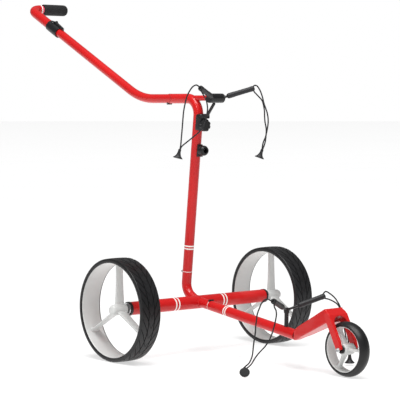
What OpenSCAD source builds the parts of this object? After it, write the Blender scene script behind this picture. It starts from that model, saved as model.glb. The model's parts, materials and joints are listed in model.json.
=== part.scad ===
// Three-wheeled electric golf trolley: tubular frame, twin in-axle motors, folding mast and drawbar.
// Millimetres. X is across the trolley, -Y is the travel direction, Z is up, the floor is z = 0.

/* [Wheels] */
// Diameter of each driven rear wheel
rear_wheel_d = 290; // [280:2:300]
// Width of each driven rear wheel
rear_wheel_w = 67; // [60:1:70]
// Distance between the outer faces of the rear wheels
track_w = 644; // [630:2:660]
// Diameter of the front wheel
front_wheel_d = 147; // [143:1:149]
// Distance from the rear axle to the front axle
reach = 607; // [600:1:614]

/* [Frame tubes] */
// Diameter of the axle tube
axle_d = 38; // [37:0.5:39]
// Diameter of the mast and chassis tubes
mast_d = 28.5; // [28:0.5:29]
// Diameter of the sliding drawbar tube
drawbar_d = 26.5; // [26:0.5:26.5]
// Outer diameter of the handle tube
handle_d = 29; // [29:0.5:30]
// Wall thickness of the frame tubes
wall = 1.8; // [1.5:0.1:2]

/* [Handle] */
// Height of the horizontal bar above the floor
bar_z = 733.5; // [725:0.5:740]
// Rise of the drawbar, in degrees
slope = 26.7; // [25:0.1:28]
// Distance from the rear axle back to the grip
grip_y = 837; // [820:1:845]
// Diameter of the foam grip
grip_d = 36; // [34:1:38]

/* [Hidden] */
$fn = 72;

red = "#d01820";
black = "#1c1c1e";
white = "#e8e8e4";
steel = "#b8bcc0";

// Side-view outline of the frame, as distances behind the rear axle and heights.
axle_z = rear_wheel_d / 2;
wheel_x = track_w / 2 - rear_wheel_w;
front_z = front_wheel_d / 2;
axle_y = (reach + front_z - grip_y - grip_d / 2) / 2;
axle_half = wheel_x - 2;
lean = 6.2;
foot_y = 48.5;
foot_z = 229.5;
foot_run = 30;
foot_bend = 40;
mast_bend = 46;
mast_top_z = bar_z - mast_bend - mast_bend * sin(lean);
mast_top_y = foot_y - (mast_top_z - foot_z) * tan(lean);
bend_centre_y = mast_top_y + mast_bend * cos(lean);
top_seam_y = 130;
bow_y = 264;
bow_r = 240;
bow_t = bow_r * tan(slope / 2);
droop = 7.8;
front_seam_y = -55;
front_axis_z = 147.2;

// Fold joints: a knuckle hinge on the edge of each tube seam.
gap = 0.15;
plug_len = 24;
plug_d = mast_d - 2 * wall;
knuckle_r = 3.4;
knuckle_w = 4;
notch_r = 3.8;
pin_r = 1.5;
run_fit = 0.05;
bend_step = 0.04;
lap = 0.3;

// Telescoping handle, measured along the sloping drawbar from its bow.
grip_s = (grip_y - bow_y) / cos(slope);
elbow_r = 36;
elbow_s = grip_s - elbow_r;
cable_bore = 18;
elbow_step = 0.2;
handle_start = 468;
drawbar_end = 560;
handle_bore = drawbar_d + 1.2;
collar_start = 463;
collar_len = 56;
collar_d = 35;
lever_pivot = 500;
lever_tip = 448;
ring_x = elbow_r;
dial_x = ring_x + 4;
grip_x = 48;
grip_end = 140;
button_d = 13;

// Bag holders: a boss, two raised rods and a rubber sleeve on each.
upper_apex = [0, -77, 730];
upper_tip = [101, -128, 763];
lower_apex = [0, -374, 156];
lower_tip = [97, -424, 192];
sleeve_d = 15.5;
rod_d = 7;
knob_z = 657;
knob_stem_d = 6;

// Front fork, leaning back from the wheel axle.
rake = 28.2;
fork_half = 34;
arm_w = 10;
fork_top = 116;
arch_z = 66;
bolt_d = 8;

// Elastic cords of the bag holders, one loop for each sleeve, from the sleeve tip down to the
// toggle and back, as distances behind the rear axle.
cord_d = 4;
upper_cord_r_route = [
    [-99, -126, 765], [-105, -127, 767], [-111, -122, 771], [-119, -115, 765], [-127, -109, 750],
    [-131, -104, 735], [-133, -101, 721], [-136, -98, 699], [-138, -97, 677], [-138, -94, 652],
    [-139, -92, 629], [-141, -91, 604], [-143, -90, 592], [-144, -90, 582], [-146, -93, 582],
    [-145, -94, 592], [-142, -98, 601], [-134, -105, 610], [-119, -118, 626], [-103, -132, 645],
    [-95, -138, 663], [-90, -142, 685], [-88, -144, 707], [-91, -142, 728], [-96, -136, 743],
    [-99, -131, 753], [-99, -128, 758]
];
upper_cord_l_route = [
    [98, -128, 767], [101, -130, 771], [107, -135, 769], [113, -141, 756], [118, -145, 738],
    [123, -147, 718], [132, -151, 690], [134, -152, 663], [129, -148, 627], [124, -143, 609],
    [121, -142, 595], [120, -142, 586], [119, -142, 578], [117, -145, 578], [118, -146, 587],
    [121, -149, 598], [124, -152, 614], [126, -153, 644], [123, -151, 666], [122, -150, 683],
    [121, -150, 701], [116, -147, 726], [108, -139, 740], [101, -131, 751], [99, -128, 757]
];
lower_cord_r_route = [
    [-95, -421, 194], [-101, -420, 193], [-111, -414, 198], [-123, -409, 189], [-131, -406, 172],
    [-138, -406, 158], [-142, -408, 145], [-148, -411, 128], [-153, -415, 111], [-160, -419, 95],
    [-166, -422, 77], [-175, -428, 55], [-184, -430, 40], [-191, -429, 32], [-200, -427, 26],
    [-208, -432, 22], [-206, -434, 18], [-198, -430, 21], [-191, -434, 27], [-184, -436, 34],
    [-171, -436, 49], [-156, -438, 63], [-140, -440, 76], [-126, -441, 92], [-115, -440, 109],
    [-106, -438, 126], [-100, -437, 142], [-95, -435, 156], [-93, -431, 167], [-95, -427, 176],
    [-95, -425, 186]
];
lower_cord_l_route = [
    [93, -421, 195], [95, -421, 199], [99, -426, 204], [106, -435, 198], [114, -444, 188],
    [120, -450, 176], [125, -454, 164], [131, -458, 144], [137, -462, 119], [141, -466, 92],
    [145, -469, 61], [147, -471, 36], [148, -471, 22], [150, -467, 22], [149, -466, 41],
    [145, -461, 66], [142, -457, 93], [138, -452, 122], [134, -449, 149], [129, -444, 165],
    [119, -438, 175], [107, -430, 182], [97, -424, 185]
];
upper_toggle_r_at = [-144, -91, 592];
upper_toggle_l_at = [119, -144, 588];
lower_toggle_r_at = [-202, -427, 23];
lower_toggle_l_at = [149, -469, 32];
toggle_len = 26;
toggle_d = 28;

// Puts a shape given from the rear axle into the trolley's own frame.
module placed() {
    translate([0, axle_y, 0]) children();
}

// Turns a drawing in XY into the side view: X becomes Y, Y becomes Z, depth runs along X.
module side_view() {
    rotate([90, 0, 90]) children();
}

// Round section, solid or with a bore.
module section(d, bore) {
    difference() {
        circle(d = d);
        circle(d = bore);
    }
}

// Straight bar or tube in the side view, lapping over a bend by "before" and "after".
module run(y, z, angle, len, d, bore = 0, before = 0, after = 0) {
    side_view() translate([y, z, 0]) rotate([0, 0, angle]) rotate([0, 90, 0])
        translate([0, 0, -before]) linear_extrude(before + len + after) section(d, bore);
}

// Curved bar or tube in the side view, about a centre, a hair thinner than the runs it lies in.
module bend(y, z, r, from, sweep, d, bore = 0) {
    side_view() translate([y, z, 0]) rotate([0, 0, from])
        rotate_extrude(angle = sweep) translate([r, 0])
            section(d - bend_step, bore == 0 ? 0 : bore + bend_step);
}

// Solid bar along X.
module cross_bar(x, len, d) {
    translate([x, 0, 0]) rotate([0, 90, 0]) cylinder(d = d, h = len);
}

// Washer or ring along X.
module cross_ring(x, len, d, bore) {
    difference() {
        cross_bar(x, len, d);
        cross_bar(x - 1, len + 2, bore);
    }
}

// Solid bar from point p to point q.
module rod(p, q, d) {
    v = q - p;
    translate(p) rotate([0, acos(v[2] / norm(v)), atan2(v[1], v[0])]) cylinder(d = d, h = norm(v));
}

// Frame of the sloping drawbar: Y runs up along it, Z is square to it.
module on_slope() {
    translate([0, bow_y, bar_z]) rotate([slope, 0, 0]) children();
}

// Frame of a tube seam: Z runs across the seam from the fixed tube, +Y faces the hinge edge.
module at_foot_seam() {
    translate([0, foot_y, foot_z]) rotate([lean, 0, 0]) children();
}

module at_top_seam() {
    translate([0, top_seam_y, bar_z]) rotate([-90, 0, 0]) children();
}

module at_front_seam() {
    translate([0, front_seam_y, front_axis_z + front_seam_y * tan(droop)])
        rotate([90 + droop, 0, 0]) children();
}

// Room that the hinge knuckles take out of the tube walls.
module hinge_notch(half = 9) {
    translate([0, mast_d / 2, 0]) cross_bar(-half, 2 * half, 2 * notch_r);
}

// Fixed half of a seam: plug, outer knuckles, locating cone.
module seam_socket() {
    difference() {
        union() {
            translate([0, 0, -plug_len]) cylinder(d = plug_d, h = plug_len - gap);
            translate([0, 0, -gap - 1]) cylinder(r1 = 7.4, r2 = 5, h = 7);
            for (x = [-2 * knuckle_w, knuckle_w]) {
                translate([0, mast_d / 2, 0]) cross_bar(x, knuckle_w, 2 * knuckle_r);
            }
        }
        translate([0, mast_d / 2, 0]) cross_bar(-knuckle_w - 0.1, 2 * knuckle_w + 0.2, 2 * notch_r);
        translate([0, mast_d / 2, 0]) cross_bar(-9, 18, 2 * pin_r);
    }
}

// Folding half of a seam: plug, middle knuckle, hollow that takes the locating cone.
module seam_plug(d) {
    difference() {
        union() {
            translate([0, 0, gap]) cylinder(d = d, h = plug_len - gap);
            translate([0, mast_d / 2, 0]) cross_bar(0.1 - knuckle_w, 2 * knuckle_w - 0.2, 2 * knuckle_r);
        }
        translate([0, 0, -1]) cylinder(r1 = 8.6, r2 = 5.8, h = 8);
        for (x = [-9, knuckle_w - 0.05]) {
            translate([0, mast_d / 2, 0]) cross_bar(x, 5.05, 2 * notch_r);
        }
        translate([0, mast_d / 2, 0]) cross_bar(-9, 18, 2 * (pin_r + run_fit));
    }
}

module seam_pin() {
    translate([0, mast_d / 2, 0]) cross_bar(-8, 16, 2 * pin_r);
}

// ---- chassis ----

module axle_tube() color(red) placed() translate([0, 0, axle_z])
    cross_ring(-axle_half, 2 * axle_half, axle_d, axle_d - 4);

module foot_path() {
    arc_y = foot_y + foot_run * sin(lean) - foot_bend * cos(lean);
    arc_z = foot_z - foot_run * cos(lean) - foot_bend * sin(lean);
    run(foot_y, foot_z, lean - 90, foot_run, mast_d, plug_d, after = lap);
    bend(arc_y, arc_z, foot_bend, -62, 62 + lean, mast_d, plug_d);
    run(arc_y + foot_bend * cos(62), arc_z - foot_bend * sin(62), -152, 20, mast_d, plug_d, before = lap);
}

module mast_foot() color(red) placed() difference() {
    foot_path();
    translate([0, 0, axle_z]) cross_bar(-40, 80, axle_d);
    at_foot_seam() hinge_notch();
}

module front_stub() color(red) placed() difference() {
    run(0, front_axis_z, 180 + droop, -front_seam_y / cos(droop), mast_d);
    run(0, front_axis_z, 180 + droop, 80, plug_d);
    translate([0, 0, axle_z]) cross_bar(-40, 80, axle_d);
    at_front_seam() hinge_notch();
}

module foot_socket() color(black) placed() at_foot_seam() seam_socket();

module front_socket() color(black) placed() at_front_seam() seam_socket();

module chassis_pins() color(steel) placed() {
    at_foot_seam() seam_pin();
    at_front_seam() seam_pin();
}

module end_cap(side) {
    placed() translate([0, 0, axle_z]) mirror([side < 0 ? 0 : 1, 0, 0]) difference() {
        union() {
            cross_bar(-axle_half - 6, 6, axle_d + 2);
            cross_bar(-axle_half, 12, axle_d - 4);
        }
        cross_bar(-axle_half - 9, 30, 13);
        cross_bar(-axle_half - 1, 20, 28);
    }
}

module end_cap_r() color(black) end_cap(-1);

module end_cap_l() color(black) end_cap(1);

module both_sides() {
    children();
    mirror([1, 0, 0]) children();
}

module axle_bearings() color(steel) placed() translate([0, 0, axle_z]) both_sides()
    cross_ring(axle_half - 8, 8, 28, 12);

module gearboxes() color(steel) placed() translate([0, 0, axle_z]) both_sides() difference() {
    cross_bar(axle_half - 62, 48, 33);
    cross_bar(axle_half - 25, 20, 12);
}

module drive_motors() color(steel) placed() translate([0, 0, axle_z]) both_sides() {
    cross_bar(axle_half - 142, 80, 32);
    cross_bar(axle_half - 148, 6, 12);
}

module controller_board() color("#1f6b3a") placed() translate([0, 0, axle_z]) {
    translate([-45, -13, -6]) cube([90, 26, 1.6]);
    for (x = [-36, -8, 20]) {
        translate([x, -9, -4.4]) cube([16, 16, 7]);
    }
}

// ---- mast ----

module mast_path(bore) {
    run(foot_y, foot_z, 90 + lean, (mast_top_z - foot_z) / cos(lean), mast_d, bore, after = lap);
    bend(bend_centre_y, bar_z - mast_bend, mast_bend, 90, 90 + lean, mast_d, bore);
    run(bend_centre_y, bar_z, 0, top_seam_y - bend_centre_y, mast_d, bore, before = lap);
}

module mast_tube() color(red) placed() difference() {
    union() {
        mast_path(plug_d);
        difference() {
            rod([0, 22, bar_z + 1.5], [0, -62, bar_z + 1.5], 15.5);
            bend(bend_centre_y, bar_z - mast_bend, mast_bend, 85, 100, mast_d - 2);
        }
    }
    at_foot_seam() translate([0, 0, -2]) cylinder(d = mast_d + 4, h = 2 + gap);
    at_foot_seam() hinge_notch();
    at_top_seam() translate([0, 0, -gap]) cylinder(d = mast_d + 4, h = 4);
    at_top_seam() hinge_notch();
}

module mast_plug() color(black) placed() at_foot_seam() seam_plug(plug_d);

module top_socket() color(black) placed() at_top_seam() seam_socket();

module top_pin() color(steel) placed() at_top_seam() seam_pin();

// Two rods rising from an apex to mirrored sleeve tips.
module holder_rods(apex, tip) {
    reach_in = 0.9;
    for (side = [-1, 1]) {
        end = [side * tip[0] * reach_in, apex[1] + (tip[1] - apex[1]) * reach_in,
               apex[2] + (tip[2] - apex[2]) * reach_in];
        rod(apex, end, rod_d);
    }
}

module holder_sleeves(apex, tip) {
    for (side = [-1, 1]) {
        far = [side * tip[0], tip[1], tip[2]];
        near = apex + (far - apex) * 0.3;
        difference() {
            rod(near, far, sleeve_d);
            rod(apex, apex + (far - apex) * 0.91, rod_d);
        }
    }
}

module upper_holder() color(black) placed() difference() {
    union() {
        translate([0, -77, bar_z + 1]) cross_bar(-26, 52, 27);
        rod([0, -52, bar_z + 1.5], [0, -70, bar_z + 1.5], 20);
        holder_rods(upper_apex, upper_tip);
    }
    rod([0, -40, bar_z + 1.5], [0, -62, bar_z + 1.5], 15.5);
    rod([0, -70, 719], [0, -36, 680], 9);
}

module upper_sleeves() color(black) placed() holder_sleeves(upper_apex, upper_tip);

module stay_strut() color(black) placed() rod([0, -71, 720.2], [0, -38, 682.3], 9);

module clamp_block() color(black) placed() difference() {
    union() {
        translate([-15, -25, 641]) cube([30, 38, 49]);
        translate([-8, -43, 676]) cube([16, 20, 14]);
    }
    mast_path(0);
    translate([-20, 1.5, 630]) rotate([lean, 0, 0]) cube([40, 40, 80]);
    rod([0, -71, 720.2], [0, -38, 682.3], 9);
    rod([0, -26, knob_z], [0, -16, knob_z], knob_stem_d + 2 * run_fit);
}

module clamp_knob() color(black) placed() {
    difference() {
        rod([0, -25.3, knob_z], [0, -35, knob_z], 36);
        for (a = [0 : 45 : 315]) {
            translate([20.5 * cos(a), -24, knob_z + 20.5 * sin(a)])
                rotate([90, 0, 0]) cylinder(r = 4.5, h = 14);
        }
    }
    rod([0, -26, knob_z], [0, -17, knob_z], knob_stem_d);
}

module socket_saddle() color(black) placed() difference() {
    translate([-8, -13, 566]) cube([16, 20, 36]);
    mast_path(0);
    translate([-20, 8, 550]) rotate([lean, 0, 0]) cube([40, 40, 80]);
    rod([0, -14, 584], [0, -4, 584], 12);
}

module power_socket() color(black) placed() difference() {
    union() {
        rod([0, -13, 584], [0, -35, 584], 30);
        rod([0, -13, 584], [0, -6, 584], 12);
    }
    rod([0, -16, 584], [0, -36, 584], 14);
}

// ---- cords ----

function unit(v) = v / norm(v);
function path_dir(p, i) = unit(p[min(i + 1, len(p) - 1)] - p[max(i - 1, 0)]);
function side_of(n, t) = unit(n - (n * t) * t);
function sides_along(p, n, i = 0) = i == len(p) ? [] :
    let(s = side_of(n, path_dir(p, i))) concat([s], sides_along(p, s, i + 1));

module cord(route) {
    n = 8;
    last = len(route) - 1;
    sides = sides_along(route, [0.31, 0.9, 0.3]);
    ring_points = [for (i = [0 : last], k = [0 : n - 1])
        let(t = path_dir(route, i), u = sides[i], v = cross(t, u))
        route[i] + cord_d / 2 * (cos(k * 360 / n) * u + sin(k * 360 / n) * v)];
    walls = [for (i = [0 : last - 1], k = [0 : n - 1])
        [i * n + k, i * n + (k + 1) % n, (i + 1) * n + (k + 1) % n, (i + 1) * n + k]];
    caps = [[for (k = [n - 1 : -1 : 0]) k], [for (k = [0 : n - 1]) last * n + k]];
    polyhedron(ring_points, concat([for (w = walls) [w[3], w[2], w[1], w[0]]],
        [for (c = caps) [for (k = [n - 1 : -1 : 0]) c[k]]]));
}

module toggle(at, tip) {
    translate(at) rotate(tip) rotate([180, 0, 0]) rotate_extrude()
        polygon([[0, 0], [4.2, 0], [5, 6], [6.6, 12], [9, 18], [12.6, 23],
                 [toggle_d / 2, 25], [toggle_d / 2, toggle_len], [0, toggle_len]]);
}

module upper_cord_r() color(black) placed() cord(upper_cord_r_route);

module upper_cord_l() color(black) placed() cord(upper_cord_l_route);

module lower_cord_r() color(black) placed() cord(lower_cord_r_route);

module lower_cord_l() color(black) placed() cord(lower_cord_l_route);

module upper_toggle_r() color(black) placed() toggle(upper_toggle_r_at, [9, 11, 0]);

module upper_toggle_l() color(black) placed() toggle(upper_toggle_l_at, [13, 15, 0]);

module lower_toggle_r() color(black) placed() toggle(lower_toggle_r_at, [0, 70, 48.5]);

module lower_toggle_l() color(black) placed() toggle(lower_toggle_l_at, [0, 0, 0]);

// ---- drawbar ----

module drawbar_path(d, bore) {
    run(top_seam_y, bar_z, 0, bow_y - bow_t - top_seam_y, d, bore, after = lap);
    bend(bow_y - bow_t, bar_z + bow_r, bow_r, -90, slope, d, bore);
    run(bow_y + bow_t * cos(slope), bar_z + bow_t * sin(slope), slope, drawbar_end - bow_t, d, bore,
        before = lap);
}

module drawbar_tube() color(red) placed() difference() {
    drawbar_path(drawbar_d, drawbar_d - 2 * wall);
    at_top_seam() translate([0, 0, -2]) cylinder(d = mast_d + 4, h = 2 + gap);
    at_top_seam() hinge_notch();
}

module drawbar_plug() color(black) placed() at_top_seam() seam_plug(drawbar_d - 2 * wall);

module slide_bush() color(black) placed() on_slope() difference() {
    union() {
        translate([0, drawbar_end - 12, 0]) rotate([-90, 0, 0]) cylinder(d = drawbar_d - 2 * wall, h = 12);
        translate([0, drawbar_end, 0]) rotate([-90, 0, 0]) cylinder(d = handle_bore - 2 * run_fit, h = 10);
    }
    translate([0, drawbar_end - 20, 0]) rotate([-90, 0, 0]) cylinder(d = 18, h = 40);
}

// ---- handle ----

// Quarter bend from the sloping tube to the grip's axis.
module elbow_bend(d) {
    translate([elbow_r, elbow_s, 0]) rotate([0, 0, 90])
        rotate_extrude(angle = 90) translate([elbow_r, 0]) circle(d = d);
}

module along_slope(from, to, d) {
    translate([0, from, 0]) rotate([-90, 0, 0]) cylinder(d = d, h = to - from);
}

module handle_tube() color(red) placed() on_slope() difference() {
    union() {
        along_slope(handle_start, elbow_s + lap, handle_d);
        elbow_bend(handle_d - elbow_step);
        translate([elbow_r - lap, grip_s, 0]) rotate([0, 90, 0]) cylinder(d = handle_d, h = lap + 4);
        translate([elbow_r + 4, grip_s, 0]) rotate([0, 90, 0])
            cylinder(d = 22, h = grip_end - elbow_r - 24);
    }
    along_slope(handle_start - 1, elbow_s - 3, handle_bore);
    translate([elbow_r + 6, grip_s, 0]) rotate([0, 90, 0]) cylinder(d = cable_bore, h = grip_end);
}

// Ring about the grip's axis, from the drawbar's centre plane.
module grip_ring(x, len, d, bore) {
    placed() on_slope() translate([0, grip_s, 0]) cross_ring(x, len, d, bore);
}

module handle_ring() color(white) grip_ring(ring_x + 0.3, 3.4, handle_d + 2, handle_d);

module speed_dial() color(red) grip_ring(dial_x + 0.3, grip_x - dial_x - 0.8, 27, 22 + 2 * run_fit);

module grip() color(black) placed() on_slope() translate([0, grip_s, 0]) difference() {
    union() {
        cross_bar(grip_x, grip_end - grip_x - 10, grip_d);
        translate([grip_end - 10, 0, 0]) rotate([0, 90, 0]) rotate_extrude()
            intersection() {
                union() {
                    translate([grip_d / 2 - 10, 0]) circle(r = 10);
                    translate([0, -10]) square([grip_d / 2 - 10, 20]);
                }
                square([grip_d / 2, 20]);
            }
    }
    cross_bar(grip_x - 1, grip_end - grip_x - 19, 22);
    cross_bar(grip_end - 8, 12, button_d + 0.16);
}

module power_button() color(red) placed() on_slope() translate([0, grip_s, 0])
    cross_bar(grip_end - 5, 6, button_d);

module clamp_collar() color(black) placed() on_slope() difference() {
    union() {
        translate([0, collar_start, 0]) rotate([-90, 0, 0]) cylinder(d = collar_d, h = collar_len);
        for (x = [-9, 5]) {
            translate([x, lever_pivot - 8, 10]) cube([4, 16, 9]);
            translate([0, lever_pivot, 19]) cross_bar(x, 4, 10);
        }
    }
    translate([0, handle_start, 0]) rotate([-90, 0, 0]) cylinder(d = handle_d, h = collar_len);
    translate([0, collar_start - 1, 0]) rotate([-90, 0, 0]) cylinder(d = drawbar_d + 2 * run_fit, h = 10);
    translate([0, lever_pivot, 19]) cross_bar(-10, 20, 4);
    translate([-4.8, lever_pivot - 6.5, 15.3]) cube([9.6, 13, 10.2]);
}

module clamp_bolt() color(steel) placed() on_slope() translate([0, lever_pivot, 19]) cross_bar(-9, 18, 4);

module clamp_lever() color(black) placed() on_slope() difference() {
    union() {
        translate([0, lever_pivot, 19.8]) cross_bar(-4.6, 9.2, 6.4);
        translate([0, lever_pivot, 19.8]) mirror([0, 1, 0]) rotate([0, 90, 0]) mirror([1, 0, 0])
            translate([0, 0, -4.6]) linear_extrude(9.2)
                polygon([[-1.6, 2], [3.2, 0], [2.6, 20], [1, 42], [-0.8, lever_pivot - lever_tip],
                         [-1.4, 42], [-1.4, 20]]);
    }
    translate([0, lever_pivot, 19]) cross_bar(-10, 20, 4 + 2 * run_fit);
}

// ---- front arm ----

module front_tube() color(red) placed() difference() {
    run(front_seam_y, front_axis_z + front_seam_y * tan(droop), 180 + droop, 360, mast_d, plug_d);
    at_front_seam() translate([0, 0, -2]) cylinder(d = mast_d + 4, h = 2 + gap);
    at_front_seam() hinge_notch();
}

module front_plug() color(black) placed() at_front_seam() seam_plug(plug_d);

module fork_frame() {
    translate([0, -reach, front_z]) rotate([-rake, 0, 0]) children();
}

module fork_neck() color(red) placed() hull() {
    translate([0, front_seam_y, front_axis_z + front_seam_y * tan(droop)]) rotate([90 + droop, 0, 0])
        translate([-mast_d / 2, -mast_d / 2, 360]) cube([mast_d, mast_d + 2, 6]);
    fork_frame() translate([-fork_half, 8, 81]) rotate([atan2(12, 35), 0, 0])
        cube([2 * fork_half, 2, norm([12, 35])]);
}

// Side outline of the fork, extruded across the trolley.
module side_block() {
    side_view() linear_extrude(80)
        translate([13, 20])
            polygon([[-8.5, -2], [-13, 20], [-13, 94], [-4, fork_top], [8, 81], [8, 20], [8.5, -2]]);
}

module fork() color(red) placed() fork_frame() difference() {
    intersection() {
        translate([-40, -13, -20]) side_block();
        translate([0, 30, 0]) rotate([90, 0, 0]) linear_extrude(60) difference() {
            union() {
                translate([-fork_half, -20]) square([2 * fork_half, fork_top - 12 + 20]);
                translate([13 - fork_half, 90]) square([2 * fork_half - 26, fork_top - 90]);
                for (x = [13 - fork_half, fork_half - 13]) {
                    translate([x, fork_top - 13]) circle(r = 13);
                }
            }
            translate([0, arch_z]) circle(r = fork_half - arm_w);
            translate([arm_w - fork_half, -30]) square([2 * (fork_half - arm_w), arch_z + 30]);
        }
    }
    cross_bar(-fork_half - 1, 2 * fork_half + 2, bolt_d);
}

module lower_holder() color(black) placed() difference() {
    union() {
        rod([0, -372.5, 100], [0, -374, 160], 12);
        holder_rods(lower_apex, lower_tip);
        rod([0, -374, 148], [0, -374, 162], 16);
    }
    run(front_seam_y, front_axis_z + front_seam_y * tan(droop), 180 + droop, 360, mast_d);
}

module lower_sleeves() color(black) placed() holder_sleeves(lower_apex, lower_tip);

module front_axle_set() color(steel) placed() translate([0, -reach, front_z]) {
    cross_bar(-fork_half - 4, 2 * fork_half + 8, bolt_d);
    for (x = [-fork_half - 4, fork_half]) {
        cross_ring(x, 4, 13, bolt_d);
    }
    for (x = [-fork_half + arm_w, 18.5]) {
        cross_ring(x, fork_half - arm_w - 18.5, 20, bolt_d);
    }
}

// ---- wheels ----

// Blade spokes of a wheel: outline in depth and radius, tapering to the rim.
module spokes(angles, x, hub_w, rim_w, from, to, thick) {
    for (a = angles) {
        side_view() rotate([0, 0, a]) rotate([90, 0, 0]) translate([0, 0, -thick / 2]) linear_extrude(thick)
            polygon([[from, x - hub_w / 2], [to, x - rim_w / 2],
                     [to, x + rim_w / 2], [from, x + hub_w / 2]]);
    }
}

module front_rim() color(white) placed() translate([0, -reach, front_z]) difference() {
    union() {
        cross_ring(-15, 30, 2 * 62, 2 * 58.5);
        spokes([60, 180, 300], 0, 20, 14, 10, 60, 8);
        cross_bar(-18, 36, 30);
    }
    cross_bar(-19, 38, 12);
    cross_bar(-19, 8.5, 22);
    cross_bar(10.5, 8.5, 22);
}

module front_bearings() color(steel) placed() translate([0, -reach, front_z]) for (x = [-18, 10.5]) {
    cross_ring(x, 7.5, 22, bolt_d + 2 * run_fit);
}

module front_tyre() color(black) placed() translate([0, -reach, front_z])
    rotate([0, 90, 0]) rotate_extrude() difference() {
        intersection() {
            translate([front_z - 24, 0]) circle(r = 24);
            translate([62, -17.5]) square([20, 35]);
        }
        translate([60, -15]) square([2, 30]);
    }

// Right rear wheel parts; side 1 mirrors them to the left.
module on_rear_side(side) {
    placed() translate([0, 0, axle_z]) mirror([side < 0 ? 0 : 1, 0, 0]) children();
}

module rim(side) {
    on_rear_side(side) difference() {
        union() {
            cross_ring(-track_w / 2 + 3, rear_wheel_w - 6, 2 * (axle_z - 8), 2 * (axle_z - 12.5));
            spokes([90, 210, 330], -287, 33, 24, 12, axle_z - 10, 7);
            cross_bar(-318, 318 - wheel_x - 12, 30);
            translate([-318, 0, 0]) rotate([0, -90, 0]) rotate_extrude() intersection() {
                translate([0, -24.5]) circle(r = 28.7);
                square([15, 5]);
            }
        }
        cross_bar(-312, 60, 12);
    }
}

module tyre(side) {
    lip_r = axle_z - 12.7;
    seat_r = axle_z - 8;
    out_x = track_w / 2;
    on_rear_side(side) rotate([0, -90, 0]) rotate_extrude()
        polygon([[lip_r, wheel_x], [axle_z - 2.5, wheel_x], [axle_z, wheel_x + 7], [axle_z, out_x - 7],
                 [axle_z - 2.5, out_x], [lip_r, out_x], [lip_r, out_x - 3], [seat_r, out_x - 3],
                 [seat_r, wheel_x + 3], [lip_r, wheel_x + 3]]);
}

module drive_shaft(side) {
    on_rear_side(side) cross_bar(-312, 312 - axle_half + 24, 12 - 2 * run_fit);
}

module release_ring(side) {
    on_rear_side(side) cross_ring(-wheel_x - 9, 4.5, 34, 12 + 2 * run_fit);
}

module rim_r() color(white) rim(-1);
module rim_l() color(white) rim(1);
module tyre_r() color(black) tyre(-1);
module tyre_l() color(black) tyre(1);
module drive_shaft_r() color(steel) drive_shaft(-1);
module drive_shaft_l() color(steel) drive_shaft(1);
module release_ring_r() color(steel) release_ring(-1);
module release_ring_l() color(steel) release_ring(1);

axle_tube();
mast_foot();
front_stub();
foot_socket();
front_socket();
chassis_pins();
end_cap_r();
end_cap_l();
gearboxes();
drive_motors();
controller_board();
axle_bearings();
mast_tube();
mast_plug();
top_socket();
top_pin();
upper_holder();
upper_sleeves();
stay_strut();
clamp_block();
socket_saddle();
power_socket();
upper_cord_r();
upper_cord_l();
upper_toggle_r();
upper_toggle_l();
clamp_knob();
drawbar_tube();
drawbar_plug();
slide_bush();
handle_tube();
handle_ring();
grip();
clamp_collar();
clamp_bolt();
clamp_lever();
speed_dial();
power_button();
front_tube();
front_plug();
fork_neck();
fork();
lower_holder();
lower_sleeves();
lower_cord_r();
lower_cord_l();
lower_toggle_r();
lower_toggle_l();
front_axle_set();
front_rim();
front_tyre();
front_bearings();
rim_r();
tyre_r();
drive_shaft_r();
release_ring_r();
rim_l();
tyre_l();
drive_shaft_l();
release_ring_l();
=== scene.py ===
"""Looks of the electric golf trolley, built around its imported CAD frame."""

import json
import math

import bmesh
import bpy
from mathutils import Matrix, Vector


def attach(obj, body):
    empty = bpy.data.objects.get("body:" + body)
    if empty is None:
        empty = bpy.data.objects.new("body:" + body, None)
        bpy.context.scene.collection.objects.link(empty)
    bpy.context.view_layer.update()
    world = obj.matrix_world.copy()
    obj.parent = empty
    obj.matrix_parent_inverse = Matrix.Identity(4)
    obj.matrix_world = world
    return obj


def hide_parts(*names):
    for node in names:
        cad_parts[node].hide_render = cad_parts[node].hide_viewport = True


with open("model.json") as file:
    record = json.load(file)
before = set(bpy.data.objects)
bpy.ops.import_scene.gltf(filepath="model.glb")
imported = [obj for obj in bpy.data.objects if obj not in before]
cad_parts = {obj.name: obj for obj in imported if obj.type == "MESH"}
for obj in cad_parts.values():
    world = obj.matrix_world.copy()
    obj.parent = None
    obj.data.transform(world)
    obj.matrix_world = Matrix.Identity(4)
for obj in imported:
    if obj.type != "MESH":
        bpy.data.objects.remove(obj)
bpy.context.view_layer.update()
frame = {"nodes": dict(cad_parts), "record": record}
nodes = frame["nodes"]

# Sizes in millimetres, as distances across, behind the rear axle and above the floor.
AXLE_Y = -87.25  # where the axle lies in the frame
AXLE_Z = 145.0
AXLE_R = 19
WHEEL_X = 288.5  # middle of a rear wheel
TUBE_R = 14.25  # mast and front tube
FOOT_Y = 48.5  # seam at the mast's foot
FOOT_Z = 229.5
MAST_BEND = 46
BAR_Z = 733.5  # level bar at the mast's top
KNOB_Z = 657
SOCKET_Z = 584
SLOPE = math.radians(26.7)  # rise of the drawbar from its bow
BOW_Y = 264.0
GRIP_S = (837.0 - BOW_Y) / math.cos(SLOPE)
GRIP_Y = BOW_Y + GRIP_S * math.cos(SLOPE)
GRIP_Z = BAR_Z + GRIP_S * math.sin(SLOPE)
ELBOW_R = 36
STUB_Z = 147.2  # height of the front tube's centre line at the axle
REACH = 607.0  # axle to front wheel
FRONT_Z = 73.5
LEAN = math.radians(6.2)
DROOP = math.radians(7.8)
ACROSS = Vector((1, 0, 0))
FORWARD = (0, -1, 0)


def at(x, y, z):
    """A point of the trolley in metres."""
    return Vector((x, y + AXLE_Y, z)) * 0.001


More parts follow.
